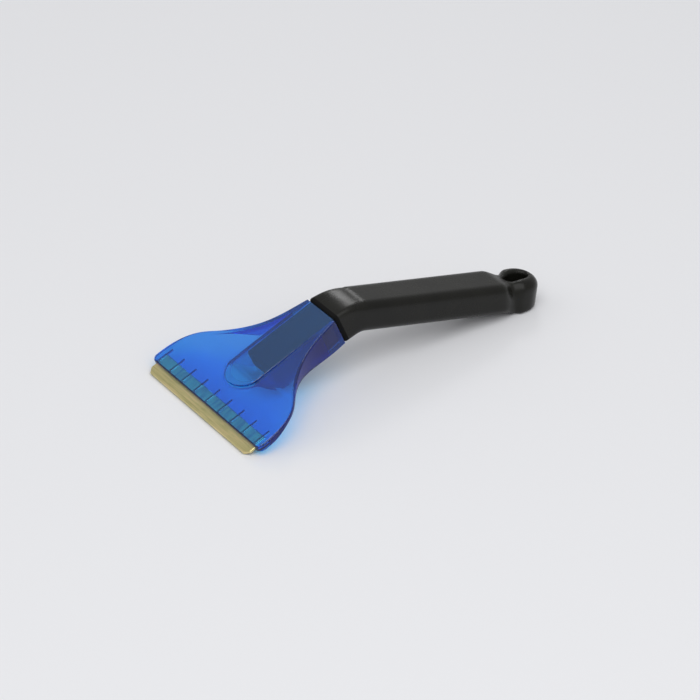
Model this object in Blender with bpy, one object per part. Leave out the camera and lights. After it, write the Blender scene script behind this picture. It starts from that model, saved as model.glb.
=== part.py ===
"""Hand-held ice scraper: clear blue head, brass blade strip, black bent handle.

Units are metres, +Z is up and +X points from the blade to the hanging eye. The origin is at
the middle of the scraper's footprint, on the surface where it lies, with its blade's cutting
edge and the eye of its handle touching that surface.

The head is drawn on its own plate: u runs up the slope from the cutting edge, y across, and
w square to the plate, zero at the blade's underside. head_point() turns them into x, y, z.
"""

import math

import bmesh
import bpy
import numpy as np

# Overall sizes
TOTAL_LENGTH = 0.2068
HEAD_SLOPE = math.radians(24.0)
CLEARANCE = 0.0003
OVERRUN = 0.0040
REAR_SPARE = 0.0005

# Head: plate
PLATE_TOP = 0.0031
PLATE_THICKNESS = 0.0020
RIM_DEPTH = 0.0023
PLATE_EDGE_RADIUS = 0.0012
HEAD_FRONT = 0.0058
HEAD_REAR = 0.0817
HEAD_HALF_WIDTH = 0.0501
FRONT_CORNER_RADIUS = 0.0035
WIDEST_END = 0.0100
NECK_HALF_WIDTH = 0.0126
NECK_DEPTH = 0.0169
WALL = 0.0019
FLOOR = 0.0020

# Head: side outline, where the flare turns from convex to concave, and how fast it runs there
FLARE_TURN = (0.0402, 0.0347)
FLARE_SLOPE = 1.10
FLARE_FRONT_REACH = 0.0207
FLARE_TURN_REACH = (0.0048, 0.0160)
FLARE_NECK_REACH = 0.0170
FLARE_NECK_SLOPE = 0.23

# Head: side skirts, which deepen from the plate's own thickness to the neck's depth
HOLLOW_START = 0.0330
SKIRT_START = 0.0380
SKIRT_START_REACH = 0.0124
SKIRT_NECK_REACH = 0.0256
SKIRT_NECK_RISE = 0.0021
SKIRT_LIP = 0.0004

# Head: keel-shaped socket for the tang
SOCKET_HALF_WIDTH = 0.0125
SOCKET_FRONT = 0.0220
SOCKET_NOSE = 0.0105
SOCKET_BOW_START = 0.0310
SOCKET_BOW_END = 0.0435
SOCKET_BOW_ROUNDNESS = 1.8
SOCKET_BOW_EASE = 0.16
SOCKET_NOSE_BULGE = 0.0018
SOCKET_ROOF = 0.0016
SOCKET_LIFT = 0.0001
SOCKET_EDGE_RADIUS = 0.0012
CAVITY_EDGE_RADIUS = 0.0009

# Head: raised tongue above the socket
TONGUE_RISE = 0.0009
TONGUE_REAR_RISE = 0.0001
TONGUE_EDGE_RADIUS = 0.0007
TONGUE_INSET = 0.0001
TONGUE_REAR_INSET = 0.0012

# Head: front band with the blade's slot
BAND_DEPTH = 0.0039
BAND_REAR = 0.0132
BAND_BLEND = 0.0150
GROOVE_COUNT = 9
GROOVE_PITCH = 0.01125
GROOVE_WIDTH = 0.0007
GROOVE_HEIGHT = 0.0006
GROOVE_FRONT = 0.0076
GROOVE_REAR = 0.0165

# Blade
BLADE_LENGTH = 0.0926
BLADE_WIDTH = 0.0127
BLADE_THICKNESS = 0.0014
BLADE_CORNER = 0.0028
BLADE_BEVEL = 0.0003
SLOT_CLEARANCE = 0.0002

# Handle: tang and collar
TANG_FRONT = 0.0405
TANG_NOSE_RADIUS = 0.0035
TANG_EDGE_RADIUS = 0.0008
COLLAR_GAP = 0.0020
COLLAR_HALF_WIDTH = 0.0115
COLLAR_TOP_DROP = 0.0002
COLLAR_DEPTH = 0.0176
COLLAR_EDGE_RADIUS = 0.0008
COLLAR_STEP = 0.0003
COLLAR_STEP_LENGTH = 0.0008
COLLAR_ROUND_INSET = 0.0012

# Handle: bend and grip. The grip's top falls in a straight line from the bend to the eye.
BEND_LENGTH = 0.01822
BEND_RISE = 0.00183
EYE_HEIGHT = 0.01712
GRIP_DEPTH = 0.01702
GRIP_HALF_WIDTH = 0.01205
GRIP_EDGE_RADIUS = 0.0045
BEND_TOP_LEAD = 0.36
BEND_TOP_END = (0.00575, 0.00115)
BEND_UNDER_LEAD = (0.0035, -0.0002)
BEND_UNDER_END = 0.0046
BEND_EDGE_GROWTH = 0.7

# Handle: waist and hanging eye. The places are counted back from the scraper's far end.
WAIST_START_BACK = 0.0273
WAIST_MIDDLE_BACK = 0.0187
WAIST_END_BACK = 0.0140
WAIST_HALF_WIDTH = 0.0100
WAIST_DROP = 0.0015
WAIST_EDGE_DEPTH = 0.0120
WAIST_EDGE_WIDTH = 0.0060
EYE_UNDER_START_BACK = 0.0238
EYE_UNDER_END_BACK = 0.0193
EYE_END_RADIUS = 0.0111
EYE_LEVELLING = 0.08
EYE_EDGE_RADIUS = 0.0052
EYE_UNDER_RADIUS = 0.0016
EYE_LEAN = 0.12
EYE_LEAN_HEIGHT = 0.0080
EYE_END_OVERHANG = 0.00034
EYE_CENTRE_BACK = 0.0133
EYE_HOLE_LENGTH = 0.0152
EYE_HOLE_WIDTH = 0.0088
EYE_LIP = 0.0009
LIP_OPENING = math.radians(78.0)

# Fineness of the curved forms
CURVE_SAMPLES = 240
CORNER_STEPS = 6
FLARE_STEPS = 34
NOSE_STEPS = 10
BOW_STEPS = 16
KEEL_STEPS = 8
BEND_STEPS = 13
GRIP_STEPS = 5
WAIST_STEPS = 25
END_FAN_STEPS = 18
EYE_HOLE_STEPS = 40
LIP_STEPS = 4

# Counted from the cutting edge: how far the blade's upper edge leans out in front of it, the
# middle of the whole length, and the far end of the handle at the height where its lean starts
BLADE_LEAN = (BLADE_THICKNESS - BLADE_BEVEL) * math.sin(HEAD_SLOPE)
MIDDLE = TOTAL_LENGTH / 2 - BLADE_LEAN
HANDLE_END = TOTAL_LENGTH - BLADE_LEAN - EYE_END_OVERHANG

# Counted the same way: the collar's front, the places along the grip, and the grip's fall
COLLAR_U = HEAD_REAR + COLLAR_GAP
COLLAR_W = PLATE_TOP - COLLAR_TOP_DROP
GRIP_START = COLLAR_U * math.cos(HEAD_SLOPE) - COLLAR_W * math.sin(HEAD_SLOPE) + BEND_LENGTH
GRIP_HEIGHT = COLLAR_U * math.sin(HEAD_SLOPE) + COLLAR_W * math.cos(HEAD_SLOPE) + BEND_RISE
WAIST_START = TOTAL_LENGTH - WAIST_START_BACK
WAIST_MIDDLE = TOTAL_LENGTH - WAIST_MIDDLE_BACK
WAIST_END = TOTAL_LENGTH - WAIST_END_BACK
EYE_UNDER_START = TOTAL_LENGTH - EYE_UNDER_START_BACK
EYE_UNDER_END = TOTAL_LENGTH - EYE_UNDER_END_BACK
EYE_CENTRE = TOTAL_LENGTH - EYE_CENTRE_BACK
GRIP_FALL = (GRIP_HEIGHT - EYE_HEIGHT) / (EYE_CENTRE - GRIP_START)


def clear_scene():
    for old in list(bpy.data.objects):
        bpy.data.objects.remove(old, do_unlink=True)


def bezier(points):
    """Points of a cubic Bezier curve, from its two ends and two handles."""
    t = np.linspace(0.0, 1.0, CURVE_SAMPLES)[:, None]
    a, b, c, d = (np.array(point, float) for point in points)
    return (1 - t) ** 3 * a + 3 * (1 - t) ** 2 * t * b + 3 * (1 - t) * t**2 * c + t**3 * d


def smooth_step(value, low, high):
    """0 below low, 1 above high and an S-curve between."""
    t = min(1.0, max(0.0, (value - low) / (high - low)))
    return t * t * (3.0 - 2.0 * t)


def head_point(u, y, w):
    """Place a point of the head's plate in the scraper's frame."""
    x = u * math.cos(HEAD_SLOPE) - w * math.sin(HEAD_SLOPE)
    z = u * math.sin(HEAD_SLOPE) + w * math.cos(HEAD_SLOPE)
    return (x - MIDDLE, y, z)


def handle_point(x, y, z):
    """Place a point of the handle, whose x is counted from the cutting edge."""
    return (x - MIDDLE, y, z)


def mesh_object(name, points, faces):
    mesh = bpy.data.meshes.new(name)
    mesh.from_pydata(points, [], faces)
    form = bmesh.new()
    form.from_mesh(mesh)
    bmesh.ops.remove_doubles(form, verts=form.verts, dist=1e-7)
    bmesh.ops.recalc_face_normals(form, faces=form.faces)
    form.to_mesh(mesh)
    form.free()
    obj = bpy.data.objects.new(name, mesh)
    bpy.context.scene.collection.objects.link(obj)
    return obj


def sleeve(rings):
    """Points and faces through rings of equally many points, closed at the first ring only."""
    count = len(rings[0])
    points = [point for ring in rings for point in ring]
    faces = [list(range(count))]
    for r in range(len(rings) - 1):
        for i in range(count):
            j = (i + 1) % count
            here, there = r * count, (r + 1) * count
            faces.append([here + i, here + j, there + j, there + i])
    return points, faces


def loft(name, rings):
    """A closed solid through rings of equally many points, with flat ends."""
    points, faces = sleeve(rings)
    faces.append(list(range(len(points) - len(rings[0]), len(points))))
    return mesh_object(name, points, faces)


def cutter(obj):
    obj.hide_render = True
    obj.display_type = "WIRE"
    return obj


def combine(target, other, operation):
    """Apply a Boolean of other to target, and take other away."""
    modifier = target.modifiers.new(operation.lower(), "BOOLEAN")
    modifier.operation = operation
    modifier.solver = "EXACT"
    modifier.object = other
    with bpy.context.temp_override(object=target, active_object=target):
        bpy.ops.object.modifier_apply(modifier=modifier.name)
    bpy.data.objects.remove(other, do_unlink=True)


def corner(centre_y, centre_z, radius_y, radius_z, start):
    """A quarter turn of an ellipse, from the angle start."""
    return [
        (
            centre_y + radius_y * math.cos(start + i * math.pi / 2 / CORNER_STEPS),
            centre_z + radius_z * math.sin(start + i * math.pi / 2 / CORNER_STEPS),
        )
        for i in range(CORNER_STEPS + 1)
    ]


def rounded_section(half_width, top, bottom, top_radius, bottom_radius, stretch=1.0):
    """(y, w) points round a box with rounded edges. stretch widens the roundings across."""
    top_y = min(top_radius * stretch, half_width * 0.98)
    low_y = min(bottom_radius * stretch, half_width * 0.98)
    top_w = top - top_radius
    low_w = bottom + bottom_radius
    return (
        corner(half_width - top_y, top_w, top_y, top_radius, 0.0)
        + corner(-half_width + top_y, top_w, top_y, top_radius, math.pi / 2)
        + corner(-half_width + low_y, low_w, low_y, bottom_radius, math.pi)
        + corner(half_width - low_y, low_w, low_y, bottom_radius, 1.5 * math.pi)
    )


# The head's outline and skirt depth as curves over u
FLARE = np.vstack(
    [
        bezier(
            [
                (WIDEST_END, HEAD_HALF_WIDTH),
                (WIDEST_END + FLARE_FRONT_REACH, HEAD_HALF_WIDTH),
                (
                    FLARE_TURN[0] - FLARE_TURN_REACH[0],
                    FLARE_TURN[1] + FLARE_TURN_REACH[0] * FLARE_SLOPE,
                ),
                FLARE_TURN,
            ]
        ),
        bezier(
            [
                FLARE_TURN,
                (
                    FLARE_TURN[0] + FLARE_TURN_REACH[1],
                    FLARE_TURN[1] - FLARE_TURN_REACH[1] * FLARE_SLOPE,
                ),
                (
                    HEAD_REAR - FLARE_NECK_REACH,
                    NECK_HALF_WIDTH + FLARE_NECK_REACH * FLARE_NECK_SLOPE,
                ),
                (HEAD_REAR, NECK_HALF_WIDTH),
            ]
        )[1:],
    ]
)
SKIRT = bezier(
    [
        (SKIRT_START, RIM_DEPTH),
        (SKIRT_START + SKIRT_START_REACH, RIM_DEPTH),
        (HEAD_REAR - SKIRT_NECK_REACH, NECK_DEPTH - SKIRT_NECK_RISE),
        (HEAD_REAR, NECK_DEPTH),
    ]
)


def half_width_at(u):
    """Half the plate's width at u, with the rounded corner at its front."""
    into_corner = HEAD_FRONT + FRONT_CORNER_RADIUS - u
    if into_corner > 0.0:
        drop = FRONT_CORNER_RADIUS - math.sqrt(
            max(0.0, FRONT_CORNER_RADIUS**2 - into_corner**2)
        )
        return HEAD_HALF_WIDTH - drop
    return float(np.interp(u, FLARE[:, 0], FLARE[:, 1]))


def flare_stretch_at(u):
    """How much longer a wall's thickness is across y than square to the outline."""
    step = 0.0004
    slope = (half_width_at(u + step) - half_width_at(u - step)) / (2 * step)
    return min(2.0, math.hypot(1.0, slope))


def skirt_depth_at(u):
    return float(np.interp(u, SKIRT[:, 0], SKIRT[:, 1]))


def underside_at(u):
    """w of the head's lower edge: the blade's band thins to the rim, then come the skirts."""
    band = 1.0 - smooth_step(u, BAND_REAR, BAND_REAR + BAND_BLEND)
    return PLATE_TOP - max(skirt_depth_at(u), RIM_DEPTH + band * (BAND_DEPTH - RIM_DEPTH))


def head_stations():
    """u of the sections: close round the corner, even along the flare, and past the rear face."""
    turn = np.linspace(0.0, math.pi / 2, CORNER_STEPS + 1)
    corner_part = HEAD_FRONT + FRONT_CORNER_RADIUS * (1.0 - np.cos(turn))
    flare_part = np.linspace(BAND_REAR, HEAD_REAR, FLARE_STEPS)
    return np.concatenate([corner_part, flare_part, [HEAD_REAR + REAR_SPARE]])


def make_head_shell():
    rings = []
    for u in head_stations():
        section = rounded_section(
            half_width_at(u),
            PLATE_TOP,
            underside_at(u),
            PLATE_EDGE_RADIUS,
            SKIRT_LIP,
            flare_stretch_at(u),
        )
        rings.append([head_point(u, y, w) for y, w in section])
    return loft("scraper_head", rings)


def make_underside_hollow():
    """The open space under the plate, between the two skirts."""
    rings = []
    for u in np.linspace(HOLLOW_START, HEAD_REAR, FLARE_STEPS):
        half = half_width_at(u) - WALL * flare_stretch_at(u)
        if half < SOCKET_HALF_WIDTH + CLEARANCE:
            break
        low = PLATE_TOP - NECK_DEPTH - FLOOR
        into = smooth_step(u, HOLLOW_START, SKIRT_START)
        under_rim = PLATE_TOP - RIM_DEPTH - CLEARANCE
        plate_under = under_rim + into * (PLATE_TOP - PLATE_THICKNESS - under_rim)
        rings.append(
            [
                head_point(u, half, plate_under),
                head_point(u, -half, plate_under),
                head_point(u, -half, low),
                head_point(u, half, low),
            ]
        )
    return cutter(loft("underside_hollow", rings))


def nose_half_width(u, front, nose, half_width):
    """Half-width of a form with straight sides and an elliptical nose."""
    if u >= front + nose:
        return half_width
    t = max(0.0, min(1.0, (front + nose - u) / nose))
    return half_width * math.sqrt(max(0.0, 1.0 - t * t))


def nose_stations(front, nose, rear, steps, straight):
    """u of the sections of a nosed form: evenly turned round the nose, then even."""
    turn = np.linspace(0.12, math.pi / 2, steps)
    return np.concatenate(
        [front + nose * (1.0 - np.cos(turn)), np.linspace(front + nose, rear, straight)[1:]]
    )


def keel_stations(front, nose, rear):
    """u of the sections of the keel and its hollow: round the nose, down the bow, then even."""
    ease = SOCKET_BOW_EASE * (SOCKET_BOW_END - SOCKET_BOW_START)
    bow = np.linspace(SOCKET_BOW_START - ease, SOCKET_BOW_END, BOW_STEPS)
    round_nose = nose_stations(front, nose, bow[1], NOSE_STEPS, 2)
    round_nose = round_nose[round_nose < bow[0] - ease / 2]
    return np.concatenate([round_nose, bow, np.linspace(SOCKET_BOW_END, rear, KEEL_STEPS)[1:]])


def keel_bottom_at(u, inset):
    """w of the socket's underside: a shallow nose, an eased start, and a bow down to its floor."""
    deep = PLATE_TOP - NECK_DEPTH + SOCKET_LIFT + inset
    level = PLATE_TOP - RIM_DEPTH - SOCKET_NOSE_BULGE + inset
    ease = SOCKET_BOW_EASE
    along = (u - SOCKET_BOW_START) / (SOCKET_BOW_END - SOCKET_BOW_START)
    along = max(-ease, min(1.0, along))
    fallen = 1.0 - (1.0 - max(along, ease)) ** SOCKET_BOW_ROUNDNESS
    if along < ease:
        fallen *= ((along + ease) / (2.0 * ease)) ** 2
    return level + (deep - level) * fallen


def make_socket_body():
    """The keel under the plate that becomes the socket's walls and floor."""
    rings = []
    top = PLATE_TOP - PLATE_THICKNESS / 2
    rear = HEAD_REAR + 3 * REAR_SPARE
    for u in keel_stations(SOCKET_FRONT, SOCKET_NOSE, rear):
        half = nose_half_width(u, SOCKET_FRONT, SOCKET_NOSE, SOCKET_HALF_WIDTH)
        bottom = keel_bottom_at(u, 0.0)
        radius = min(SOCKET_EDGE_RADIUS, (top - bottom) * 0.4, half * 0.4)
        section = rounded_section(half, top, bottom, radius * 0.3, radius)
        rings.append([head_point(u, y, w) for y, w in section])
    return loft("socket_body", rings)


def make_socket_cavity():
    """The hollow that takes the tang, open at the neck's rear face."""
    rings = []
    top = PLATE_TOP - SOCKET_ROOF
    front = SOCKET_FRONT + 2 * WALL
    nose = SOCKET_NOSE - WALL
    for u in keel_stations(front, nose, HEAD_REAR + OVERRUN):
        half = nose_half_width(u, front, nose, SOCKET_HALF_WIDTH - WALL)
        bottom = min(keel_bottom_at(u - WALL / 2, FLOOR), top - SOCKET_NOSE_BULGE / 2)
        radius = min(CAVITY_EDGE_RADIUS, (top - bottom) * 0.3, half * 0.4)
        section = rounded_section(half, top, bottom, radius * 0.5, radius)
        rings.append([head_point(u, y, w) for y, w in section])
    return cutter(loft("socket_cavity", rings))


def make_tongue():
    """The slightly raised panel on top of the socket, round at its front."""
    rings = []
    base = PLATE_TOP - SOCKET_ROOF / 2
    rear = HEAD_REAR + 2 * REAR_SPARE
    for u in nose_stations(SOCKET_FRONT, SOCKET_NOSE, rear, NOSE_STEPS, NOSE_STEPS):
        along = smooth_step(u, SOCKET_FRONT + SOCKET_NOSE, HEAD_REAR)
        inset = TONGUE_INSET + (TONGUE_REAR_INSET - TONGUE_INSET) * along
        half = nose_half_width(u, SOCKET_FRONT, SOCKET_NOSE, SOCKET_HALF_WIDTH - inset)
        rise = TONGUE_RISE + (TONGUE_REAR_RISE - TONGUE_RISE) * along
        radius = min(TONGUE_EDGE_RADIUS, rise * 0.8)
        section = rounded_section(half, PLATE_TOP + rise, base, radius, radius / 3)
        rings.append([head_point(u, y, w) for y, w in section])
    return loft("tongue", rings)


def box_on_plate(name, u_range, y_range, w_range):
    corners = [head_point(u, y, w) for u in u_range for y in y_range for w in w_range]
    faces = [(0, 1, 3, 2), (4, 6, 7, 5), (0, 4, 5, 1), (2, 3, 7, 6), (0, 2, 6, 4), (1, 5, 7, 3)]
    return mesh_object(name, corners, faces)


def make_rear_trim():
    """Cuts the shell, the socket and the tongue off square at the neck's rear face."""
    half = NECK_HALF_WIDTH + OVERRUN
    low = PLATE_TOP - NECK_DEPTH - OVERRUN
    u_range = (HEAD_REAR, HEAD_REAR + OVERRUN)
    box = box_on_plate("rear_trim", u_range, (-half, half), (low, PLATE_TOP + OVERRUN))
    return cutter(box)


def make_blade_slot():
    half = BLADE_LENGTH / 2 + SLOT_CLEARANCE
    return cutter(
        box_on_plate(
            "blade_slot",
            (HEAD_FRONT - OVERRUN, BLADE_WIDTH + SLOT_CLEARANCE),
            (-half, half),
            (-SLOT_CLEARANCE, BLADE_THICKNESS + SLOT_CLEARANCE),
        )
    )


def make_groove(index):
    """One of the narrow grooves in the slot's roof, which run on behind the blade."""
    middle = (index - (GROOVE_COUNT - 1) / 2) * GROOVE_PITCH
    return cutter(
        box_on_plate(
            "groove",
            (GROOVE_FRONT, GROOVE_REAR),
            (middle - GROOVE_WIDTH / 2, middle + GROOVE_WIDTH / 2),
            (BLADE_THICKNESS / 2, BLADE_THICKNESS + SLOT_CLEARANCE + GROOVE_HEIGHT),
        )
    )


def make_head():
    head = make_head_shell()
    combine(head, make_underside_hollow(), "DIFFERENCE")
    combine(head, make_socket_body(), "UNION")
    combine(head, make_tongue(), "UNION")
    combine(head, make_rear_trim(), "DIFFERENCE")
    combine(head, make_socket_cavity(), "DIFFERENCE")
    combine(head, make_blade_slot(), "DIFFERENCE")
    for index in range(GROOVE_COUNT):
        combine(head, make_groove(index), "DIFFERENCE")
    return head


def make_blade():
    """Flat strip with its two front corners cut off and its long edges eased."""
    half = BLADE_LENGTH / 2
    outline = [
        (BLADE_CORNER, -half),
        (BLADE_WIDTH, -half),
        (BLADE_WIDTH, half),
        (BLADE_CORNER, half),
        (0.0, half - BLADE_CORNER),
        (0.0, -half + BLADE_CORNER),
    ]

    def eased(inset, w):
        ring = []
        for u, y in outline:
            inner_u = min(BLADE_WIDTH - inset, max(inset, u))
            inner_y = math.copysign(min(abs(y), half - inset), y)
            ring.append(head_point(inner_u, inner_y, w))
        return ring

    top = BLADE_THICKNESS
    rings = [eased(0.0, 0.0), eased(0.0, top - BLADE_BEVEL), eased(BLADE_BEVEL, top)]
    return loft("brass_blade", rings)


def make_tang():
    """The square stub inside the head, rounded below its front like the socket's bow."""
    top = PLATE_TOP - SOCKET_ROOF - CLEARANCE
    bottom = PLATE_TOP - NECK_DEPTH + SOCKET_LIFT + FLOOR + CLEARANCE
    half = SOCKET_HALF_WIDTH - WALL - CLEARANCE
    stations = []
    for turn in np.linspace(0.0, math.pi / 2, CORNER_STEPS + 1):
        back = TANG_NOSE_RADIUS * (1.0 - math.cos(turn))
        lift = TANG_NOSE_RADIUS * (1.0 - math.sin(turn))
        narrow = max(0.0, TANG_EDGE_RADIUS - back)
        stations.append((TANG_FRONT + back, lift, narrow))
    stations.append((COLLAR_U + OVERRUN, 0.0, 0.0))
    rings = []
    for u, lift, narrow in stations:
        section = rounded_section(
            half - narrow, top - narrow, bottom + lift, TANG_EDGE_RADIUS, TANG_EDGE_RADIUS
        )
        rings.append([head_point(u, y, w) for y, w in section])
    return loft("tang", rings)


def grip_top_at(x):
    return GRIP_HEIGHT - (x - GRIP_START) * GRIP_FALL


def grip_bottom_at(x):
    """The grip's lower line, which steps down to the surface at the eye."""
    line = grip_top_at(x) - GRIP_DEPTH
    return max(0.0, line * (1.0 - smooth_step(x, EYE_UNDER_START, EYE_UNDER_END)))


def waist_share(x):
    """1 in the middle of the waist, 0 on the grip and on the eye."""
    return smooth_step(x, WAIST_START, WAIST_MIDDLE) * (
        1.0 - smooth_step(x, WAIST_MIDDLE, WAIST_END)
    )


def eye_share(x):
    return smooth_step(x, WAIST_MIDDLE, WAIST_END)


def grip_section(x):
    """Half-width, top, bottom, upper and lower edge radius and their stretch across, at x."""
    waist, eye = waist_share(x), eye_share(x)
    base = GRIP_HALF_WIDTH + (EYE_END_RADIUS - GRIP_HALF_WIDTH) * eye
    half = base + (WAIST_HALF_WIDTH - base) * waist
    levelled = EYE_LEVELLING * (x - EYE_CENTRE) * eye
    top = grip_top_at(x) - WAIST_DROP * waist + levelled
    radius = GRIP_EDGE_RADIUS + (EYE_EDGE_RADIUS - GRIP_EDGE_RADIUS) * eye
    top_radius = radius + (WAIST_EDGE_DEPTH - radius) * waist
    stretch = (radius + (WAIST_EDGE_WIDTH - radius) * waist) / top_radius
    bottom = grip_bottom_at(x)
    bottom_radius = GRIP_EDGE_RADIUS + (EYE_UNDER_RADIUS - GRIP_EDGE_RADIUS) * eye
    return half, top, bottom, top_radius, bottom_radius, stretch


def grip_surface_at(x, y):
    """Height of the grip's upper surface, with its rounded edges."""
    half, top, _, radius, _, stretch = grip_section(x)
    into_edge = max(0.0, abs(y) - (half - radius * stretch)) / stretch
    return top - radius + math.sqrt(max(0.0, radius**2 - into_edge**2))


def leaning_point(x, y, z, share):
    """A point of the eye, whose upright faces lean towards the end, square to the grip."""
    return handle_point(x + share * EYE_LEAN * (z - EYE_LEAN_HEIGHT), y, z)


def collar_front_rings():
    """The collar's rounded front, which almost meets the neck's rear face."""
    length = COLLAR_GAP - CLEARANCE
    rings = []
    for turn in np.linspace(math.pi / 2, 0.0, CORNER_STEPS + 1)[:-1]:
        u = COLLAR_U - length * math.sin(turn)
        inset = COLLAR_ROUND_INSET * (1.0 - math.cos(turn))
        top, bottom = COLLAR_W - inset, COLLAR_W - COLLAR_DEPTH + inset
        radius = COLLAR_EDGE_RADIUS
        section = rounded_section(COLLAR_HALF_WIDTH - inset, top, bottom, radius, radius)
        rings.append([head_point(u, y, w) for y, w in section])
    return rings


def bend_rings():
    """Sections from the collar's front face round the bend to the grip's start."""
    start_top = np.array(head_point(COLLAR_U, 0.0, COLLAR_W))[[0, 2]] + (MIDDLE, 0.0)
    collar_low = head_point(COLLAR_U, 0.0, COLLAR_W - COLLAR_DEPTH)
    start_low = np.array(collar_low)[[0, 2]] + (MIDDLE, 0.0)
    end_top = np.array([GRIP_START, grip_top_at(GRIP_START) - COLLAR_STEP])
    end_low = np.array([GRIP_START, grip_bottom_at(GRIP_START)])
    lead = (end_top[0] - start_top[0]) * BEND_TOP_LEAD
    top_line = bezier(
        [
            start_top,
            start_top + (lead, lead * math.tan(HEAD_SLOPE)),
            end_top + (-BEND_TOP_END[0], BEND_TOP_END[1]),
            end_top,
        ]
    )
    low_line = bezier(
        [
            start_low,
            start_low + BEND_UNDER_LEAD,
            end_low + (-BEND_UNDER_END, BEND_UNDER_END * GRIP_FALL),
            end_low,
        ]
    )
    rings = []
    for share in np.linspace(0.0, 1.0, BEND_STEPS):
        place = int(round(share * (CURVE_SAMPLES - 1)))
        high, low = top_line[place], low_line[place]
        depth = float(np.linalg.norm(high - low))
        half = COLLAR_HALF_WIDTH + (GRIP_HALF_WIDTH - COLLAR_HALF_WIDTH) * share
        growth = (GRIP_EDGE_RADIUS - COLLAR_EDGE_RADIUS) * share**BEND_EDGE_GROWTH
        radius = COLLAR_EDGE_RADIUS + growth
        ring = []
        for y, w in rounded_section(half, 0.0, -depth, radius, radius):
            x, z = high + (low - high) * (-w / depth)
            ring.append(handle_point(float(x), y, float(z)))
        rings.append(ring)
    return rings


def grip_rings():
    """Upright sections from behind the step to the middle of the eye's round end."""
    fan_centre = HANDLE_END - EYE_END_RADIUS
    straight = np.linspace(GRIP_START + COLLAR_STEP_LENGTH, WAIST_START, GRIP_STEPS)
    shaped = np.linspace(WAIST_START, fan_centre, WAIST_STEPS)[1:]
    rings = []
    for x in np.concatenate([straight, shaped]):
        section = rounded_section(*grip_section(x))
        rings.append([leaning_point(x, y, z, eye_share(x)) for y, z in section])
    return rings


def round_end():
    """Points and faces of the eye's round end: half a section swept about an upright axis."""
    centre = HANDLE_END - EYE_END_RADIUS
    top, bottom = grip_section(centre)[1:3]
    right = [(y, z) for y, z in rounded_section(*grip_section(centre)) if y > 1e-9]
    right.sort(key=lambda point: math.atan2(point[1] - (top + bottom) / 2, point[0]))
    points, faces = [], []
    turns = np.linspace(-math.pi / 2, math.pi / 2, END_FAN_STEPS + 1)
    for turn in turns:
        for radius, z in right:
            x = centre + radius * math.cos(turn)
            fall = grip_section(x)[1] - top
            share = (z - bottom) / (top - bottom)
            height = z + fall * share
            points.append(leaning_point(x, radius * math.sin(turn), height, eye_share(x)))
    count = len(right)
    for t in range(END_FAN_STEPS):
        for i in range(count - 1):
            a, b = t * count + i, (t + 1) * count + i
            faces.append([a, a + 1, b + 1, b])
    faces.append([t * count for t in range(END_FAN_STEPS + 1)])
    faces.append([t * count + count - 1 for t in range(END_FAN_STEPS + 1)])
    return points, faces


def make_eye_hole():
    """Oval cutter with flared ends, which leave a rounded lip at both mouths."""
    rings = []
    lip = [
        (EYE_LIP * (1.0 - math.sin(a)), EYE_LIP * (1.0 - math.cos(a)))
        for a in np.linspace(LIP_OPENING, 0.0, LIP_STEPS + 1)
    ]
    levels = [(EYE_LIP, lip[0][1], True)]
    levels += [(-depth, widen, True) for depth, widen in lip]
    levels += [(depth, widen, False) for depth, widen in reversed(lip)]
    levels += [(-EYE_LIP, lip[0][1], False)]
    for height, widen, at_top in levels:
        ring = []
        for a in np.linspace(0.0, 2 * math.pi, EYE_HOLE_STEPS + 1)[:-1]:
            x = EYE_CENTRE + (EYE_HOLE_LENGTH / 2 + widen) * math.cos(a)
            y = (EYE_HOLE_WIDTH / 2 + widen) * math.sin(a)
            z = grip_surface_at(x, y) + height if at_top else grip_bottom_at(x) + height
            ring.append(leaning_point(x, y, z, 1.0))
        rings.append(ring)
    return cutter(loft("eye_hole", rings))


def make_handle():
    points, faces = sleeve(collar_front_rings() + bend_rings() + grip_rings())
    end_points, end_faces = round_end()
    faces += [[i + len(points) for i in face] for face in end_faces]
    handle = mesh_object("handle", points + end_points, faces)
    combine(handle, make_tang(), "UNION")
    combine(handle, make_eye_hole(), "DIFFERENCE")
    return handle


def plastic(name, colour, roughness, metallic=0.0, transmission=0.0):
    material = bpy.data.materials.new(name)
    material.use_nodes = True
    shader = material.node_tree.nodes["Principled BSDF"]
    shader.inputs["Base Color"].default_value = (*colour, 1.0)
    shader.inputs["Roughness"].default_value = roughness
    shader.inputs["Metallic"].default_value = metallic
    shader.inputs["Transmission Weight"].default_value = transmission
    return material


def finish(obj, material):
    obj.data.materials.clear()
    obj.data.materials.append(material)
    obj.data.shade_smooth()
    obj.data.set_sharp_from_angle(angle=math.radians(35))


def main():
    clear_scene()
    finish(make_head(), plastic("clear_blue", (0.02, 0.10, 0.72), 0.12, transmission=0.8))
    finish(make_blade(), plastic("brass", (0.55, 0.45, 0.20), 0.35, metallic=1.0))
    finish(make_handle(), plastic("matt_black", (0.025, 0.025, 0.024), 0.5))


main()
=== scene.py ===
# %% [markdown]
# # A hand-held ice scraper
#
# The real object is three pieces pushed together: a flared head moulded in clear blue
# plastic, a strip of brass in a slot along its front, and a bent handle moulded in matt
# black plastic, with an oval eye to hang it up by. Nothing on it moves. The solids come from
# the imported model, so this lesson is about what they are made of, how light runs through the
# clear head, and where the camera stands.

# %% Load the solids
import math

import bpy
from mathutils import Matrix, Vector


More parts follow.
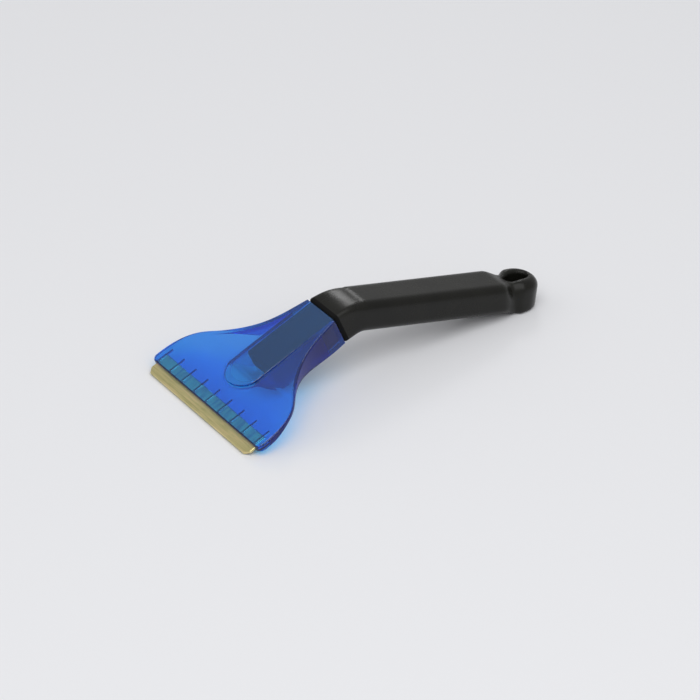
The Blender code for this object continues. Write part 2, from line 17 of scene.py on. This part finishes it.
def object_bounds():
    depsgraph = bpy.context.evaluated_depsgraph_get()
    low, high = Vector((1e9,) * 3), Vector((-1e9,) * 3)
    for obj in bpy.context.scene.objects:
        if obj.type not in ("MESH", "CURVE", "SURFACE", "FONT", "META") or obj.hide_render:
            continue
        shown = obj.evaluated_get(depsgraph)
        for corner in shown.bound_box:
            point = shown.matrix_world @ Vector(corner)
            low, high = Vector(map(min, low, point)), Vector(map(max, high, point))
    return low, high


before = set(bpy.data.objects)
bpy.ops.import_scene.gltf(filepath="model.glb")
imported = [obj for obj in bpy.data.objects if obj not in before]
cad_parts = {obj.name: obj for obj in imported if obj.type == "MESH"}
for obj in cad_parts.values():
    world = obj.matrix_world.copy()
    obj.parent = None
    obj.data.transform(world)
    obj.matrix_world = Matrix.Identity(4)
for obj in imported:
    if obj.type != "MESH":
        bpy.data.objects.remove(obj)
cad_low, cad_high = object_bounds()
print("solids:", sorted(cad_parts))
print("overall size in mm:", [round(1000 * v, 1) for v in cad_high - cad_low])

# %% [markdown]
# The camera can be placed by eye, or worked out from known lengths. Here it was worked out,
# so all that is left is to write it down: a point on the table that it looks at, the way
# that it faces, how far away it stands, and a long lens. It is rolled by half a degree.

# %% Camera
AIM = Vector((-0.00585, 0.00820, 0.0))
VIEW_AZIMUTH = math.radians(55.927)
VIEW_ELEVATION = math.radians(31.870)
VIEW_ROLL = math.radians(0.602)
VIEW_DISTANCE = 1.96075
LENS_MM = 197.76
SENSOR_MM = 36.0

view_direction = Vector(
    (
        math.cos(VIEW_ELEVATION) * math.cos(VIEW_AZIMUTH),
        math.cos(VIEW_ELEVATION) * math.sin(VIEW_AZIMUTH),
        -math.sin(VIEW_ELEVATION),
    )
)
camera_data = bpy.data.cameras.new("camera")
camera_data.lens = LENS_MM
camera_data.sensor_width = SENSOR_MM
camera = bpy.data.objects.new("camera", camera_data)
bpy.context.scene.collection.objects.link(camera)
camera.matrix_world = (
    Matrix.Translation(AIM - view_direction * VIEW_DISTANCE)
    @ view_direction.to_track_quat("-Z", "Y").to_matrix().to_4x4()
    @ Matrix.Rotation(VIEW_ROLL, 4, "Z")
)
bpy.context.scene.camera = camera
print("camera stands at", [round(v, 3) for v in camera.location])

# %% [markdown]
# The scraper lies on a plain pale table. A photographer's sweep that curves up behind would
# do as well, but the camera looks down, so one large flat sheet fills the whole picture. It
# stays a hair below the scraper, so that the two never share a plane.

# %% Table
FLOOR_HALF = 3.0
FLOOR_DROP = 0.0003
FLOOR_COLOUR = (0.80, 0.805, 0.83)
FLOOR_ROUGHNESS = 0.7
FLOOR_SHINE = 0.2


def new_material(name):
    """An empty node material with its output, ready for a surface."""
    material = bpy.data.materials.new(name)
    material.use_nodes = True
    tree = material.node_tree
    tree.nodes.clear()
    return material, tree, tree.nodes.new("ShaderNodeOutputMaterial")


def new_surface(tree, settings):
    """A Principled BSDF, with plain values set on its own sockets."""
    surface = tree.nodes.new("ShaderNodeBsdfPrincipled")
    for socket_name, value in settings.items():
        surface.inputs[socket_name].default_value = value
    return surface


corners = [(-FLOOR_HALF, -FLOOR_HALF), (FLOOR_HALF, -FLOOR_HALF)]
corners += [(FLOOR_HALF, FLOOR_HALF), (-FLOOR_HALF, FLOOR_HALF)]
floor_mesh = bpy.data.meshes.new("table_top")
floor_mesh.from_pydata([(x, y, 0.0) for x, y in corners], [], [(0, 1, 2, 3)])
floor = bpy.data.objects.new("table_top", floor_mesh)
floor.location.z = -FLOOR_DROP
bpy.context.scene.collection.objects.link(floor)
floor_material, tree, output = new_material("pale_table")
surface = new_surface(
    tree,
    {
        "Base Color": (*FLOOR_COLOUR, 1.0),
        "Roughness": FLOOR_ROUGHNESS,
        "Specular IOR Level": FLOOR_SHINE,
    },
)
tree.links.new(surface.outputs["BSDF"], output.inputs["Surface"])
floor_mesh.materials.append(floor_material)
print("table:", 2 * FLOOR_HALF, "m square")

# %% [markdown]
# The room is even and bright. The light could come from one lamp, which would give a hard
# shadow, or from the whole sky, which would give almost none. Here a very wide softbox above
# gives most of it, so that shadows stay soft and close to what throws them. A weaker window
# on the far left gives them a direction, and a small one behind the scraper picks out the
# bend of the black plastic.

# %% Sky and lamps
SKY_STRENGTH = 0.48
# Each lamp's place and size in metres, and its power in watts.
LAMPS = {
    "softbox_above": ((-0.35, -0.85, 1.65), 2.2, 24.5),
    "window_left": ((-1.15, 0.85, 0.85), 1.2, 1.8),
    "window_behind": ((0.85, 1.28, 0.97), 0.36, 2.6),
}


def add_lamp(name, place, size, power):
    """A square area lamp at place, facing the middle of the scraper."""
    data = bpy.data.lights.new(name, "AREA")
    data.shape = "SQUARE"
    data.size = size
    data.energy = power
    lamp = bpy.data.objects.new(name, data)
    lamp.location = place
    lamp.rotation_mode = "QUATERNION"
    lamp.rotation_quaternion = (-Vector(place)).to_track_quat("-Z", "Y")
    bpy.context.scene.collection.objects.link(lamp)


world = bpy.data.worlds.new("sky")
world.use_nodes = True
bpy.context.scene.world = world
tree = world.node_tree
tree.nodes.clear()
output = tree.nodes.new("ShaderNodeOutputWorld")
sky = tree.nodes.new("ShaderNodeBackground")
sky.inputs["Color"].default_value = (1.0, 1.0, 1.0, 1.0)
sky.inputs["Strength"].default_value = SKY_STRENGTH
tree.links.new(sky.outputs["Background"], output.inputs["Surface"])
for lamp_name, (place, size, power) in LAMPS.items():
    add_lamp(lamp_name, place, size, power)
bpy.context.scene.view_settings.view_transform = "Standard"
print("lamps:", sorted(LAMPS))

# %% [markdown]
# The finishes are built from a few kinds of node, over and over: sums, noise, colour ramps
# and mixes. Each kind gets a small function that places the node, links what it is given and
# returns its output. The finishes can then be read like arithmetic.

# %% Building blocks
MIX_COLOUR_INPUTS = (6, 7)
MIX_COLOUR_OUTPUT = 2


def math_node(tree, operation, first, second=0.0):
    """A Math node of two sockets or numbers."""
    node = tree.nodes.new("ShaderNodeMath")
    node.operation = operation
    for slot, value in zip(node.inputs, (first, second)):
        if isinstance(value, (int, float)):
            slot.default_value = value
        else:
            tree.links.new(value, slot)
    return node.outputs["Value"]


def noise_node(tree, vector, scale, detail=2.0, roughness=0.5, distortion=0.0):
    """A Noise Texture; scale is a number or a socket."""
    node = tree.nodes.new("ShaderNodeTexNoise")
    tree.links.new(vector, node.inputs["Vector"])
    if isinstance(scale, (int, float)):
        node.inputs["Scale"].default_value = scale
    else:
        tree.links.new(scale, node.inputs["Scale"])
    node.inputs["Detail"].default_value = detail
    node.inputs["Roughness"].default_value = roughness
    node.inputs["Distortion"].default_value = distortion
    return node.outputs["Fac"]


def ramp_node(tree, value, stops):
    """A Color Ramp from (position, grey or colour) stops."""
    node = tree.nodes.new("ShaderNodeValToRGB")
    tree.links.new(value, node.inputs["Fac"])
    elements = node.color_ramp.elements
    while len(elements) < len(stops):
        elements.new(0.5)
    for element, (position, colour) in zip(elements, stops):
        element.position = position
        if isinstance(colour, (int, float)):
            colour = (colour, colour, colour)
        element.color = (*colour, 1.0)
    return node.outputs["Color"]


def mix_node(tree, factor, first, second):
    """A colour mix; first and second are each a colour or a socket."""
    node = tree.nodes.new("ShaderNodeMix")
    node.data_type = "RGBA"
    tree.links.new(factor, node.inputs["Factor"])
    for index, colour in zip(MIX_COLOUR_INPUTS, (first, second)):
        if isinstance(colour, tuple):
            node.inputs[index].default_value = (*colour, 1.0)
        else:
            tree.links.new(colour, node.inputs[index])
    return node.outputs[MIX_COLOUR_OUTPUT]


def stretched(tree, vector, factors):
    """The vector with each direction scaled on its own, by a triple or a socket."""
    node = tree.nodes.new("ShaderNodeVectorMath")
    node.operation = "MULTIPLY"
    tree.links.new(vector, node.inputs[0])
    if isinstance(factors, tuple):
        node.inputs[1].default_value = factors
    else:
        tree.links.new(factors, node.inputs[1])
    return node.outputs["Vector"]


blocks = (math_node, noise_node, ramp_node, mix_node, stretched)
print("building blocks:", [block.__name__ for block in blocks])

# %% [markdown]
# Effects that turn up in more than one finish are made once, as a node group with named
# inputs. Every surface that has been handled carries fine scratches, and so do all three
# pieces here. They could be drawn one by one, but noise stretched along one direction gives
# them at no cost: only its crests are kept, and only in patches.

# %% Fine scratches
SCRATCH_CRESTS = [(0.56, 0.0), (0.64, 1.0)]
SCRATCH_PATCHES = [(0.40, 0.0), (0.62, 1.0)]
SCRATCH_PATCH_SCALE = 60.0


def make_group(name, inputs, output_name):
    """A node group with inputs given as (name, kind, value), and one number out."""
    group = bpy.data.node_groups.new(name, "ShaderNodeTree")
    for socket_name, kind, value in inputs:
        socket = group.interface.new_socket(
            name=socket_name, in_out="INPUT", socket_type="NodeSocket" + kind
        )
        if value is not None:
            socket.default_value = value
    group.interface.new_socket(
        name=output_name, in_out="OUTPUT", socket_type="NodeSocketFloat"
    )
    start = group.nodes.new("NodeGroupInput")
    end = group.nodes.new("NodeGroupOutput")
    return group, start.outputs, end.inputs[output_name]


def make_scratches():
    """Fine straight lines: noise stretched along one axis, kept only at its crests."""
    group, given, mask = make_group(
        "fine_scratches",
        [
            ("Vector", "Vector", None),
            ("Stretch", "Vector", (1.0, 1.0, 1.0)),
            ("Amount", "Float", 0.5),
        ],
        "Mask",
    )
    along = stretched(group, given["Vector"], given["Stretch"])
    lines = noise_node(group, along, 1.0, detail=3.0, roughness=0.6, distortion=0.1)
    patches = noise_node(group, given["Vector"], SCRATCH_PATCH_SCALE, detail=1.0)
    lines = ramp_node(group, lines, SCRATCH_CRESTS)
    patches = ramp_node(group, patches, SCRATCH_PATCHES)
    kept = math_node(group, "MULTIPLY", lines, patches)
    group.links.new(math_node(group, "MULTIPLY", kept, given["Amount"]), mask)
    return group


SCRATCHES = make_scratches()
print("shared effect:", SCRATCHES.name)

# %% [markdown]
# Moulded plastic is never quite flat: the head and the handle both have a slow ripple where
# they shrank. The handle's matt mould also left a fine grain on it. Both are heights for a
# bump, each made of two sizes of noise, because one size alone looks like a regular pattern.
# A group only puts out values; the shader itself stays in the material.

# %% Ripple and grain
FINER_RIPPLE_SCALE = 2.7
FINER_RIPPLE_SHARE = 0.35
COARSER_GRAIN_SCALE = 0.28
COARSER_GRAIN_SHARE = 0.5


def make_ripple():
    """Slow waviness of a moulded wall: a broad noise, plus a share of a finer one."""
    group, given, height = make_group(
        "moulding_ripple", [("Vector", "Vector", None), ("Scale", "Float", 40.0)], "Height"
    )
    broad = noise_node(group, given["Vector"], given["Scale"], detail=0.0)
    finer_scale = math_node(group, "MULTIPLY", given["Scale"], FINER_RIPPLE_SCALE)
    finer = noise_node(group, given["Vector"], finer_scale, detail=0.0)
    finer = math_node(group, "MULTIPLY", finer, FINER_RIPPLE_SHARE)
    group.links.new(math_node(group, "ADD", broad, finer), height)
    return group


def make_grain():
    """A spark-eroded mould's grain: small bumps, plus a share of coarser ones."""
    group, given, height = make_group(
        "mould_grain", [("Vector", "Vector", None), ("Scale", "Float", 2500.0)], "Height"
    )
    small = noise_node(group, given["Vector"], given["Scale"], roughness=0.6)
    coarser_scale = math_node(group, "MULTIPLY", given["Scale"], COARSER_GRAIN_SCALE)
    coarser = noise_node(group, given["Vector"], coarser_scale, detail=1.0)
    coarser = math_node(group, "MULTIPLY", coarser, COARSER_GRAIN_SHARE)
    group.links.new(math_node(group, "ADD", small, coarser), height)
    return group


RIPPLE = make_ripple()
GRAIN = make_grain()
print("shared effects:", RIPPLE.name, "and", GRAIN.name)

# %% [markdown]
# A finish places such an effect with its own values, and can lay one bump on another. All of
# them need to know where on the piece they are. Object coordinates say that, and stay put
# when the piece is seen from another side.

# %% Placing the effects
def place_group(tree, group, vector, **values):
    """A shared effect in a material, with its own values."""
    node = tree.nodes.new("ShaderNodeGroup")
    node.node_tree = group
    tree.links.new(vector, node.inputs["Vector"])
    for name, value in values.items():
        node.inputs[name].default_value = value
    return node.outputs[0]


def bump_node(tree, height, distance, strength=1.0, normal=None):
    """A Bump node, optionally on top of another normal."""
    node = tree.nodes.new("ShaderNodeBump")
    node.inputs["Distance"].default_value = distance
    node.inputs["Strength"].default_value = strength
    tree.links.new(height, node.inputs["Height"])
    if normal is not None:
        tree.links.new(normal, node.inputs["Normal"])
    return node.outputs["Normal"]


def object_vector(tree, turn=0.0, origin=(0.0, 0.0, 0.0)):
    """Object coordinates, moved to an origin and turned about Y to lie along a slope."""
    coordinates = tree.nodes.new("ShaderNodeTexCoord")
    mapping = tree.nodes.new("ShaderNodeMapping")
    mapping.vector_type = "TEXTURE"
    mapping.inputs["Location"].default_value = origin
    mapping.inputs["Rotation"].default_value = (0.0, -turn, 0.0)
    tree.links.new(coordinates.outputs["Object"], mapping.inputs["Vector"])
    return mapping.outputs["Vector"]


print("effects are placed on object coordinates")

# %% [markdown]
# Everything on the head and the blade follows the slope that the plate lies at. So their
# finishes are placed in the plate's own directions: X up the plate from the cutting edge, Y
# across it, Z out of it. Simple tests on those three numbers pick out each region, as a mask
# that is 1 inside and 0 outside. All lengths from here on are in metres.

# %% Positions along the plate
HEAD_SLOPE = math.radians(24.0)
# How far the blade's front face leans out past its cutting edge.
EDGE_LEAN = 0.00045
CUTTING_EDGE = (cad_low.x + EDGE_LEAN, 0.0, 0.0)


def plate_position(tree):
    """The position along the plate as a vector, then its X, Y and Z."""
    vector = object_vector(tree, HEAD_SLOPE, CUTTING_EDGE)
    parts = tree.nodes.new("ShaderNodeSeparateXYZ")
    tree.links.new(vector, parts.inputs["Vector"])
    return vector, parts.outputs["X"], parts.outputs["Y"], parts.outputs["Z"]


def below(tree, value, limit):
    """A mask of where value is under limit."""
    return math_node(tree, "LESS_THAN", value, limit)


def above(tree, value, limit):
    """A mask of where value is over limit."""
    return math_node(tree, "GREATER_THAN", value, limit)


def both(tree, first, second):
    """The part that two masks share, or a mask made weaker by a number."""
    return math_node(tree, "MULTIPLY", first, second)


def outside(tree, mask):
    """The reverse of a mask."""
    return math_node(tree, "SUBTRACT", 1.0, mask)


print("cutting edge at", [round(v, 4) for v in CUTTING_EDGE])

# %% [markdown]
# The head has two hollows: the socket that holds the handle's tang, under the round-nosed
# tongue, and the slot that holds the blade. Light crosses their walls on its way to what is
# inside. If the walls were tinted like the outer skin, the tang and the brass would go nearly
# black, so the hollows get a mask of their own.

# %% The socket and the slot
NOSE_START = 0.0330
NOSE_LENGTH = 0.0112
SOCKET_HALF_WIDTH = 0.0118
HOLLOW_ROOF = 0.0027
BLADE_REAR = 0.0132
BLADE_HALF_LENGTH = 0.0466


def tongue_reach(tree, x, y):
    """0 along the middle of the tongue, 1 on the round-nosed outline of its socket.

    It is the square of how far ahead of the nose's start a point lies, in nose lengths,
    plus the square of how far aside it lies, in half widths."""
    ahead = math_node(tree, "SUBTRACT", NOSE_START, x)
    ahead = math_node(tree, "DIVIDE", math_node(tree, "MAXIMUM", ahead, 0.0), NOSE_LENGTH)
    aside = math_node(tree, "DIVIDE", y, SOCKET_HALF_WIDTH)
    ahead = math_node(tree, "POWER", ahead, 2.0)
    return math_node(tree, "ADD", ahead, math_node(tree, "MULTIPLY", aside, aside))


def hollow_mask(tree, reach, x, y, z):
    """The walls of the socket and of the blade's slot."""
    aside = math_node(tree, "ABSOLUTE", y)
    over_blade = both(tree, below(tree, x, BLADE_REAR), below(tree, aside, BLADE_HALF_LENGTH))
    inside = math_node(tree, "MAXIMUM", below(tree, reach, 1.0), over_blade)
    return both(tree, inside, below(tree, z, HOLLOW_ROOF))


print("the socket's nose is", round(1000 * NOSE_LENGTH, 1), "mm long")

# %% [markdown]
# Three more regions are tinted darker than the rest, as painted shade for the dark look that
# light bent in the clear plastic gives them: the walls that stand on the plate, the thin
# lines at the front lip and in the grooves over the blade, and the rim of the socket's nose.
# The walls could be found by their place, as the others are. Their direction is simpler: a
# wall's normal points away from the plate's. The low part of the skirt on the +Y side, which
# stands towards the windows, is painted nearly clear instead, as painted light.

# %% Walls, lines and rim
WALL_SHADE_FADE = [(0.45, 1.0), (0.90, 0.0)]
SKIRT_TOP = -0.0015
SKIRT_PAINTED_LIGHT = 0.85
GROOVE_PITCH = 0.01125
GROOVE_HALF_WIDTH = 0.0004
GROOVE_REAR = 0.0166
GROOVE_SHADE_STRENGTH = 0.75
BLADE_TOP = 0.0016
FRONT_LIP_END = 0.0066
RIM_SHADE_BAND = [(0.66, 0.0), (0.74, 1.0), (0.86, 1.0), (0.94, 0.0)]
RIM_LOW = 0.0016


def wall_shade_mask(tree, y, z):
    """Painted shade on faces that stand on the plate, mostly taken off the low part of the +Y
    skirt as painted light.
    """
    facing = tree.nodes.new("ShaderNodeVectorMath")
    facing.operation = "DOT_PRODUCT"
    facing.inputs[1].default_value = (-math.sin(HEAD_SLOPE), 0.0, math.cos(HEAD_SLOPE))
    coordinates = tree.nodes.new("ShaderNodeTexCoord")
    tree.links.new(coordinates.outputs["Normal"], facing.inputs[0])
    flatness = math_node(tree, "ABSOLUTE", facing.outputs["Value"])
    standing = ramp_node(tree, flatness, WALL_SHADE_FADE)
    # Painted light: the low part of the +Y skirt, towards the windows, loses most of the wall
    # shade.
    painted_lit_skirt = both(tree, above(tree, y, 0.0), below(tree, z, SKIRT_TOP))
    return both(tree, standing, outside(tree, both(tree, painted_lit_skirt, SKIRT_PAINTED_LIGHT)))


def line_shade_mask(tree, x, y, z):
    """Painted shade on the front lip, and in the grooves that cross the strip over the blade.
    """
    near_groove = math_node(tree, "DIVIDE", y, GROOVE_PITCH)
    near_groove = math_node(tree, "PINGPONG", near_groove, 0.5)
    near_groove = below(tree, near_groove, GROOVE_HALF_WIDTH / GROOVE_PITCH)
    in_row = both(tree, below(tree, x, GROOVE_REAR), above(tree, z, BLADE_TOP))
    grooves = both(tree, near_groove, both(tree, in_row, GROOVE_SHADE_STRENGTH))
    return math_node(tree, "MAXIMUM", grooves, below(tree, x, FRONT_LIP_END))


def rim_shade_mask(tree, reach, z):
    """Painted shade in a thin strip just inside the socket's outline, on its roof."""
    shade_band = ramp_node(tree, reach, RIM_SHADE_BAND)
    roof = both(tree, below(tree, z, HOLLOW_ROOF), above(tree, z, RIM_LOW))
    return both(tree, shade_band, roof)


print("grooves every", 1000 * GROOVE_PITCH, "mm")

# %% [markdown]
# Clear plastic gets its colour from its depth: a ray that crosses two millimetres of it comes
# out light blue, and one that runs along a wall comes out deep blue. So the body absorbs
# light. That alone left the thin plate too pale, so its skin is tinted blue as well, and 7 %
# of the skin scatters light instead of passing it, like the slight haze of a used moulding.
# Walls, lines and rim get darker tints still: painted shade.

# %% Colour of the clear plastic
PLASTIC_IOR = 1.50
CLARITY = 0.93
SKIN_TINT = (0.20, 0.38, 1.0)
HOLLOW_TINT = (1.0, 1.0, 1.0)
# Painted shade: these darker tints stand for the dark look that bent light gives walls, lines
# and rim.
WALL_SHADE_TINT = (0.032, 0.062, 0.62)
LINE_SHADE_TINT = (0.02, 0.03, 0.22)
RIM_SHADE_TINT = (0.06, 0.04, 0.40)

blue, tree, output = new_material("clear_blue_plastic")
along_plate, plate_x, plate_y, plate_z = plate_position(tree)
clear = new_surface(tree, {"Transmission Weight": CLARITY, "IOR": PLASTIC_IOR})
reach = tongue_reach(tree, plate_x, plate_y)
hollow = hollow_mask(tree, reach, plate_x, plate_y, plate_z)
wall_shade = both(tree, wall_shade_mask(tree, plate_y, plate_z), outside(tree, hollow))
tint = ramp_node(tree, hollow, [(0.0, SKIN_TINT), (1.0, HOLLOW_TINT)])
# Painted shade on the walls, the lip and groove lines, and the socket's rim.
tint = mix_node(tree, wall_shade, tint, WALL_SHADE_TINT)
tint = mix_node(tree, line_shade_mask(tree, plate_x, plate_y, plate_z), tint, LINE_SHADE_TINT)
tint = mix_node(tree, rim_shade_mask(tree, reach, plate_z), tint, RIM_SHADE_TINT)
tree.links.new(tint, clear.inputs["Base Color"])
print("colour of the head:", len(tree.nodes), "nodes")

# %% [markdown]
# The head left its mould polished, and has since picked up scratches. The floor of the socket
# looks frosted. A rough surface blurs what is seen through it, so roughness shows both. The
# ripple bends the light a little, which is what makes plastic look moulded and not cut.

# %% Polish of the clear plastic
POLISHED_ROUGHNESS = 0.035
PLATE_SCRATCHES = {"Stretch": (160.0, 2200.0, 160.0), "Amount": 0.6}
SCRATCHED_ROUGHNESS = 0.22
SCRATCH_DEPTH = 0.00001
FROST_OUTLINE = 1.25
FROST_TOP = 0.0008
FROST_ROUGHNESS = 0.45
PLATE_RIPPLE_SCALE = 55.0
PLATE_RIPPLE_DEPTH = 0.00012

scratches = place_group(tree, SCRATCHES, along_plate, **PLATE_SCRATCHES)
frosted = both(tree, below(tree, reach, FROST_OUTLINE), below(tree, plate_z, FROST_TOP))
frost = math_node(tree, "MULTIPLY", frosted, FROST_ROUGHNESS)
scratched = math_node(tree, "MULTIPLY", scratches, SCRATCHED_ROUGHNESS)
added = math_node(tree, "ADD", scratched, frost)
polish = math_node(tree, "ADD", added, POLISHED_ROUGHNESS)
tree.links.new(polish, clear.inputs["Roughness"])
ripple = place_group(tree, RIPPLE, along_plate, Scale=PLATE_RIPPLE_SCALE)
normal = bump_node(tree, ripple, PLATE_RIPPLE_DEPTH)
normal = bump_node(tree, scratches, SCRATCH_DEPTH, normal=normal)
tree.links.new(normal, clear.inputs["Normal"])
print("colour and polish of the head:", len(tree.nodes), "nodes")

# %% [markdown]
# Lamps would be slow to find their way through the bent rays of a clear body. So shadow rays
# pass straight through, and lose colour at the skin and in the body on their way. That gives
# the blue light that falls on the table beside the head.

# %% Light through the head
SHADOW_TINT = (0.45, 0.84, 0.95)
BODY_COLOUR = (0.03, 0.87, 0.935)
BODY_DENSITY = 640.0

through = tree.nodes.new("ShaderNodeBsdfTransparent")
passed = ramp_node(tree, hollow, [(0.0, SHADOW_TINT), (1.0, HOLLOW_TINT)])
tree.links.new(passed, through.inputs["Color"])
path = tree.nodes.new("ShaderNodeLightPath")
mix = tree.nodes.new("ShaderNodeMixShader")
tree.links.new(path.outputs["Is Shadow Ray"], mix.inputs["Fac"])
tree.links.new(clear.outputs["BSDF"], mix.inputs[1])
tree.links.new(through.outputs["BSDF"], mix.inputs[2])
tree.links.new(mix.outputs["Shader"], output.inputs["Surface"])
body = tree.nodes.new("ShaderNodeVolumeAbsorption")
body.inputs["Color"].default_value = (*BODY_COLOUR, 1.0)
body.inputs["Density"].default_value = BODY_DENSITY
tree.links.new(body.outputs["Volume"], output.inputs["Volume"])
print("blue head:", len(tree.nodes), "nodes")

# %% [markdown]
# The blade is cut from rolled brass strip. Rolling leaves fine lines along the strip, and
# handling dulls it in streaks, from olive to a warmer tan. A metal shader with its colour
# and roughness driven by long, thin noise along the blade shows both. Towards the slot the
# plastic has rubbed it to a coppery tone, in patches. Inside the slot the brass is painted
# brighter, with soft bars across it: painted light, for the light that it gives back
# through the clear head.

# %% Colour of the brass
SLOT_MOUTH = 0.0062
ALONG_STRIP = (760.0, 55.0, 760.0)
ACROSS_STRIP = (60.0, 420.0, 60.0)
OLIVE_BRASS = (0.50, 0.47, 0.21)
PLAIN_BRASS = (0.70, 0.62, 0.31)
WARM_BRASS = (0.88, 0.71, 0.40)
RUBBED_BRASS = (0.95, 0.66, 0.34)
# Painted light: the next two colours paint the brass inside the slot brighter, in soft bars.
PAINTED_DIM_SLOT_BRASS = (0.60, 0.55, 0.42)
PAINTED_LIT_SLOT_BRASS = (1.0, 0.90, 0.52)
DULLED_STOPS = [(0.34, OLIVE_BRASS), (0.52, PLAIN_BRASS), (0.70, WARM_BRASS)]
PAINTED_SLOT_LIGHT_STOPS = [(0.38, PAINTED_DIM_SLOT_BRASS), (0.54, PAINTED_LIT_SLOT_BRASS)]
RUB_SCALE = 2.3
RUB_CRESTS = [(0.56, 0.0), (0.66, 1.0)]
NEAR_SLOT = [(0.45, 0.1), (0.85, 0.8)]

brass, tree, output = new_material("brass")
along_blade, blade_x, _, _ = plate_position(tree)
metal = new_surface(tree, {"Metallic": 1.0})
tree.links.new(metal.outputs["BSDF"], output.inputs["Surface"])
strip = stretched(tree, along_blade, ALONG_STRIP)
streaks = noise_node(tree, strip, 1.0, detail=5.0, roughness=0.62, distortion=0.4)
dulled = ramp_node(tree, streaks, DULLED_STOPS)
rubs = noise_node(tree, strip, RUB_SCALE, detail=5.0, roughness=0.65)
rubs = ramp_node(tree, rubs, RUB_CRESTS)
near_slot = ramp_node(tree, math_node(tree, "DIVIDE", blade_x, SLOT_MOUTH), NEAR_SLOT)
outer_brass = mix_node(tree, both(tree, rubs, near_slot), dulled, RUBBED_BRASS)
# Painted light: inside the slot the brass is painted brighter, in soft bars across it.
across = stretched(tree, along_blade, ACROSS_STRIP)
light_bars = noise_node(tree, across, 1.0, detail=3.0, roughness=0.6)
painted_slot_light = ramp_node(tree, light_bars, PAINTED_SLOT_LIGHT_STOPS)
in_slot = above(tree, blade_x, SLOT_MOUTH)
tree.links.new(mix_node(tree, in_slot, outer_brass, painted_slot_light), metal.inputs["Base Color"])
print("colour of the brass:", len(tree.nodes), "nodes")

# %% [markdown]
# The same streaks decide how the brass shines: the dull olive ones are rougher than the
# warm ones. Rolling lines are far too fine to model, so they are a bump, like the scratches.

# %% Shine of the brass
BRASS_ROUGHNESS = [(0.30, 0.46), (0.70, 0.30)]
ROLLING_LINES = {"Stretch": (5200.0, 90.0, 5200.0), "Amount": 1.0}
STREAK_DEPTH = 0.00003
ROLLING_DEPTH = 0.000012

tree.links.new(ramp_node(tree, streaks, BRASS_ROUGHNESS), metal.inputs["Roughness"])
lines = place_group(tree, SCRATCHES, along_blade, **ROLLING_LINES)
normal = bump_node(tree, streaks, STREAK_DEPTH)
normal = bump_node(tree, lines, ROLLING_DEPTH, normal=normal)
tree.links.new(normal, metal.inputs["Normal"])
print("brass blade:", len(tree.nodes), "nodes")

# %% [markdown]
# The handle is moulded in black plastic against a finely grained mould. Black plastic is
# never quite black: it is a very dark warm grey, a little uneven, and a shade smoother where
# a hand rubs it. A narrow band at the front of the collar, next to the head, is painted near
# black and hardly reflects at all: a painted shadow, for the shaded gap there between the
# collar and the head.

# %% Colour of the black plastic
BLACK_SHINE = 0.25
BLACK_PATCH_SCALE = 38.0
DARK_BLACK = (0.006, 0.006, 0.005)
WARM_BLACK = (0.010, 0.010, 0.008)
BLACK_STOPS = [(0.32, DARK_BLACK), (0.68, WARM_BLACK)]
# Painted shadow: the end and colour of a near-black band that stands for the shaded gap at the
# collar.
GAP_SHADOW_END = 0.0847
GAP_SHADOW_COLOUR = (0.0008, 0.0008, 0.0009)

black, tree, output = new_material("black_plastic")
around = object_vector(tree)
matt = new_surface(tree, {"IOR": PLASTIC_IOR, "Specular IOR Level": BLACK_SHINE})
tree.links.new(matt.outputs["BSDF"], output.inputs["Surface"])
patches = noise_node(tree, around, BLACK_PATCH_SCALE, detail=4.0, roughness=0.6)
uneven = ramp_node(tree, patches, BLACK_STOPS)
_, handle_x, _, _ = plate_position(tree)
# Painted shadow: a near-black band at the collar's front, for the shaded gap next to the head.
shade_band = below(tree, handle_x, GAP_SHADOW_END)
tree.links.new(mix_node(tree, shade_band, uneven, GAP_SHADOW_COLOUR), matt.inputs["Base Color"])
print("colour of the handle:", len(tree.nodes), "nodes")

# %% [markdown]
# The grain is far too fine to model, so it is a bump, on top of the slow ripple. Moulded
# edges are a little round. The solids have their larger radii already, and a Bevel node
# lends the shading of the sharper edges the rest.

# %% Grain of the black plastic
RUBBED_ROUGHNESS = [(0.35, 0.24), (0.70, 0.31)]
GAP_SHADOW_ROUGHNESS = 0.9
HANDLE_SCUFFS = {"Stretch": (90.0, 1500.0, 1500.0), "Amount": 0.3}
SCUFF_POLISH = 0.06
SOFT_EDGE = 0.0035
SOFT_EDGE_SAMPLES = 8
HANDLE_RIPPLE_SCALE = 45.0
HANDLE_RIPPLE_DEPTH = 0.00010
GRAIN_SCALE = 2600.0
GRAIN_DEPTH = 0.000012
GRAIN_STRENGTH = 0.6

rubbed = ramp_node(tree, patches, RUBBED_ROUGHNESS)
# Painted shadow: the gap's band is made rough as well, so that it hardly reflects.
rubbed = math_node(tree, "MAXIMUM", rubbed, both(tree, shade_band, GAP_SHADOW_ROUGHNESS))
scuffs = place_group(tree, SCRATCHES, around, **HANDLE_SCUFFS)
scuffs = math_node(tree, "MULTIPLY", scuffs, SCUFF_POLISH)
tree.links.new(math_node(tree, "SUBTRACT", rubbed, scuffs), matt.inputs["Roughness"])
rounded = tree.nodes.new("ShaderNodeBevel")
rounded.samples = SOFT_EDGE_SAMPLES
rounded.inputs["Radius"].default_value = SOFT_EDGE
ripple = place_group(tree, RIPPLE, around, Scale=HANDLE_RIPPLE_SCALE)
normal = bump_node(tree, ripple, HANDLE_RIPPLE_DEPTH, normal=rounded.outputs["Normal"])
grain = place_group(tree, GRAIN, around, Scale=GRAIN_SCALE)
normal = bump_node(tree, grain, GRAIN_DEPTH, GRAIN_STRENGTH, normal)
tree.links.new(normal, matt.inputs["Normal"])
print("black handle:", len(tree.nodes), "nodes")

# %% [markdown]
# Each piece is of one material, so it gets one finish. Its mesh stays as it was loaded.

# %% Dress the solids
FINISHES = {"scraper_head": blue, "brass_blade": brass, "handle": black}

for node_name, material in FINISHES.items():
    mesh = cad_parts[node_name].data
    mesh.materials.clear()
    mesh.materials.append(material)
    print(node_name, len(mesh.polygons), "faces,", material.name)
